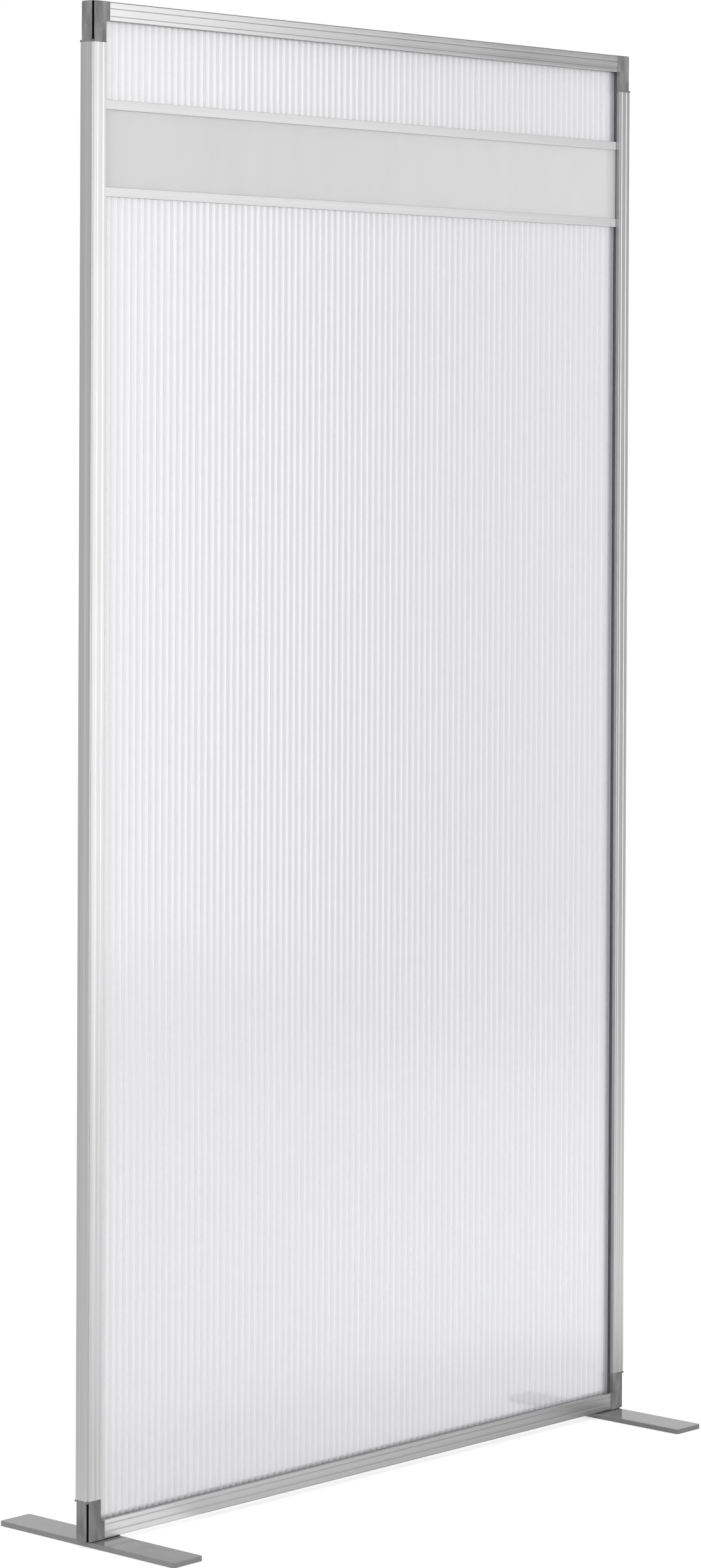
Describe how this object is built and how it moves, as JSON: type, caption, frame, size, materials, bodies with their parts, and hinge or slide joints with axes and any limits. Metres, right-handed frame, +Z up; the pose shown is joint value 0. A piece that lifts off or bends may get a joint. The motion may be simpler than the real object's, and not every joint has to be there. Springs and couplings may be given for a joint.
{
  "type": "room divider",
  "caption": "Free-standing screen with an aluminium frame, translucent twin-wall sheets, a pale window band at eye level and flat steel feet.",
  "frame": {"origin": "on the floor, below the middle of the screen", "axes": "+X along the width, from left to right seen from the front; +Y from the front to the back; +Z up"},
  "size_m": [1, 0.29, 1.807],
  "materials": {
    "extrusion": "satin anodised, drawn along the length",
    "corner": "satin grey coat on a casting",
    "twin_wall": "translucent twin-wall polycarbonate",
    "window": "smooth, lightly clouded",
    "strip": "satin anodised",
    "liner": "soft, matt",
    "foot": "smooth grey coat on flat steel",
    "shim": "matt black",
    "screw": "zinc plated",
    "insert": "plain"
  },
  "bodies": {
    "root": {"left_post": "extrusion", "right_post": "extrusion", "top_rail": "extrusion", "bottom_rail": "extrusion", "corner_top_left": "corner", "corner_top_right": "corner", "corner_bottom_left": "corner", "corner_bottom_right": "corner", "lower_panel": "twin_wall", "upper_panel": "twin_wall", "window_pane": "window", "lower_joint_strip": "strip", "upper_joint_strip": "strip", "left_liner": "liner", "right_liner": "liner", "top_liner": "liner", "bottom_liner": "liner", "left_foot": "foot", "right_foot": "foot", "left_foot_shim": "shim", "right_foot_shim": "shim", "left_foot_screws": "screw", "right_foot_screws": "screw", "left_foot_inserts": "insert", "right_foot_inserts": "insert"}
  },
  "joints": []
}
